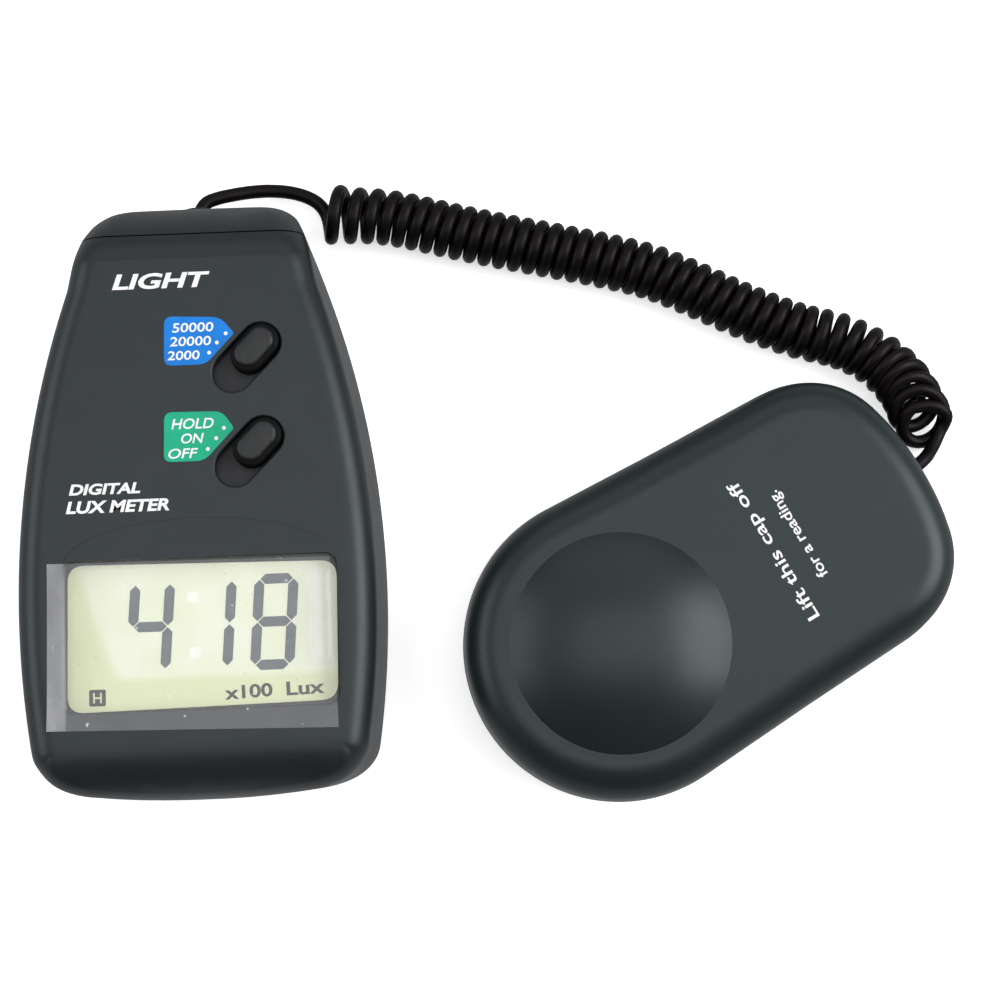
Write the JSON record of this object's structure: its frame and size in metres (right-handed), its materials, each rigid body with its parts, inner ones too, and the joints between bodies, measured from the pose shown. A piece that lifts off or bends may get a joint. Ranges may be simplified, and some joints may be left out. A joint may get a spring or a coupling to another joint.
{
  "type": "light meter",
  "caption": "Hand-held digital light meter: tapered display unit with two slide switches, joined by a curly cord to an oval light sensor under a domed protective cap.",
  "frame": {"origin": "centre of the meter unit's flat rear face", "axes": "+Y along the meter unit towards its cord end, +X to its right, where the sensor lies, +Z out of its display; both units lie on z = 0"},
  "size_m": [0.183, 0.127, 0.03],
  "materials": {
    "meter_plastic": "fine-grained satin",
    "sensor_plastic": "satin, slightly greenish",
    "knob_plastic": "satin",
    "window": "polished clear plastic",
    "film": "thin clear film",
    "lcd": "pale green-yellow display glass",
    "frame_plastic": "matte black",
    "board": "green lacquered circuit board",
    "chip": "moulded epoxy",
    "rubber": "matte",
    "cord_jacket": "satin black jacket",
    "steel": "zinc plated",
    "nickel": "nickel plated",
    "phenolic": "brown laminate",
    "cell_jacket": "printed sleeve",
    "diffuser": "translucent white",
    "filter": "green filter glass",
    "trimmer": "blue moulding"
  },
  "bodies": {
    "meter": {"front_cover": "meter_plastic", "rear_cover": "meter_plastic", "case_screw_1": "steel", "case_screw_2": "steel", "case_screw_3": "steel", "case_screw_4": "steel", "display_window": "window", "display_film": "film", "lcd_panel": "lcd", "lcd_frame": "frame_plastic", "zebra_strip": "rubber", "main_board": "board", "converter_chip": "chip", "calibration_trimmer_1": "trimmer", "calibration_trimmer_2": "trimmer", "board_screw_1": "steel", "board_screw_2": "steel", "range_switch_base": "phenolic", "range_switch_can": "steel", "power_switch_base": "phenolic", "power_switch_can": "steel", "battery_cell": "cell_jacket", "battery_spring": "nickel", "battery_contact": "nickel", "meter_cord_bush": "rubber", "cord_lead_meter": "cord_jacket", "cord_coil": "cord_jacket"},
    "range_slider": {"range_knob": "knob_plastic"},
    "power_slider": {"power_knob": "knob_plastic"},
    "door": {"battery_door": "meter_plastic"},
    "sensor": {"sensor_base": "sensor_plastic", "sensor_top": "sensor_plastic", "diffuser_dome": "diffuser", "filter_disc": "filter", "photodiode": "nickel", "sensor_board": "board", "sensor_screw_1": "steel", "sensor_screw_2": "steel", "sensor_screw_3": "steel", "sensor_cord_bush": "rubber", "cord_lead_sensor": "cord_jacket"},
    "cap": {"sensor_cap": "sensor_plastic"}
  },
  "joints": [
    {"name": "range_slide", "type": "slide", "parent": "meter", "child": "range_slider", "axis": [-0.6947, -0.7193, 0], "range_m": [0, 0.00466]},
    {"name": "power_slide", "type": "slide", "parent": "meter", "child": "power_slider", "axis": [-0.6947, -0.7193, 0], "range_m": [0, 0.00466]},
    {"name": "door_slide", "type": "slide", "parent": "meter", "child": "door", "axis": [0, -1, 0], "range_m": [0, 0.028]},
    {"name": "sensor_reach", "type": "slide", "parent": "meter", "child": "sensor", "axis": [1, 0, 0], "range_m": [0, 0.15], "stiffness_N_per_m": 8, "deforming": ["cord_coil", "cord_lead_sensor"]},
    {"name": "cap_lift", "type": "slide", "parent": "sensor", "child": "cap", "axis": [0, 0, 1], "range_m": [0, 0.03]}
  ]
}
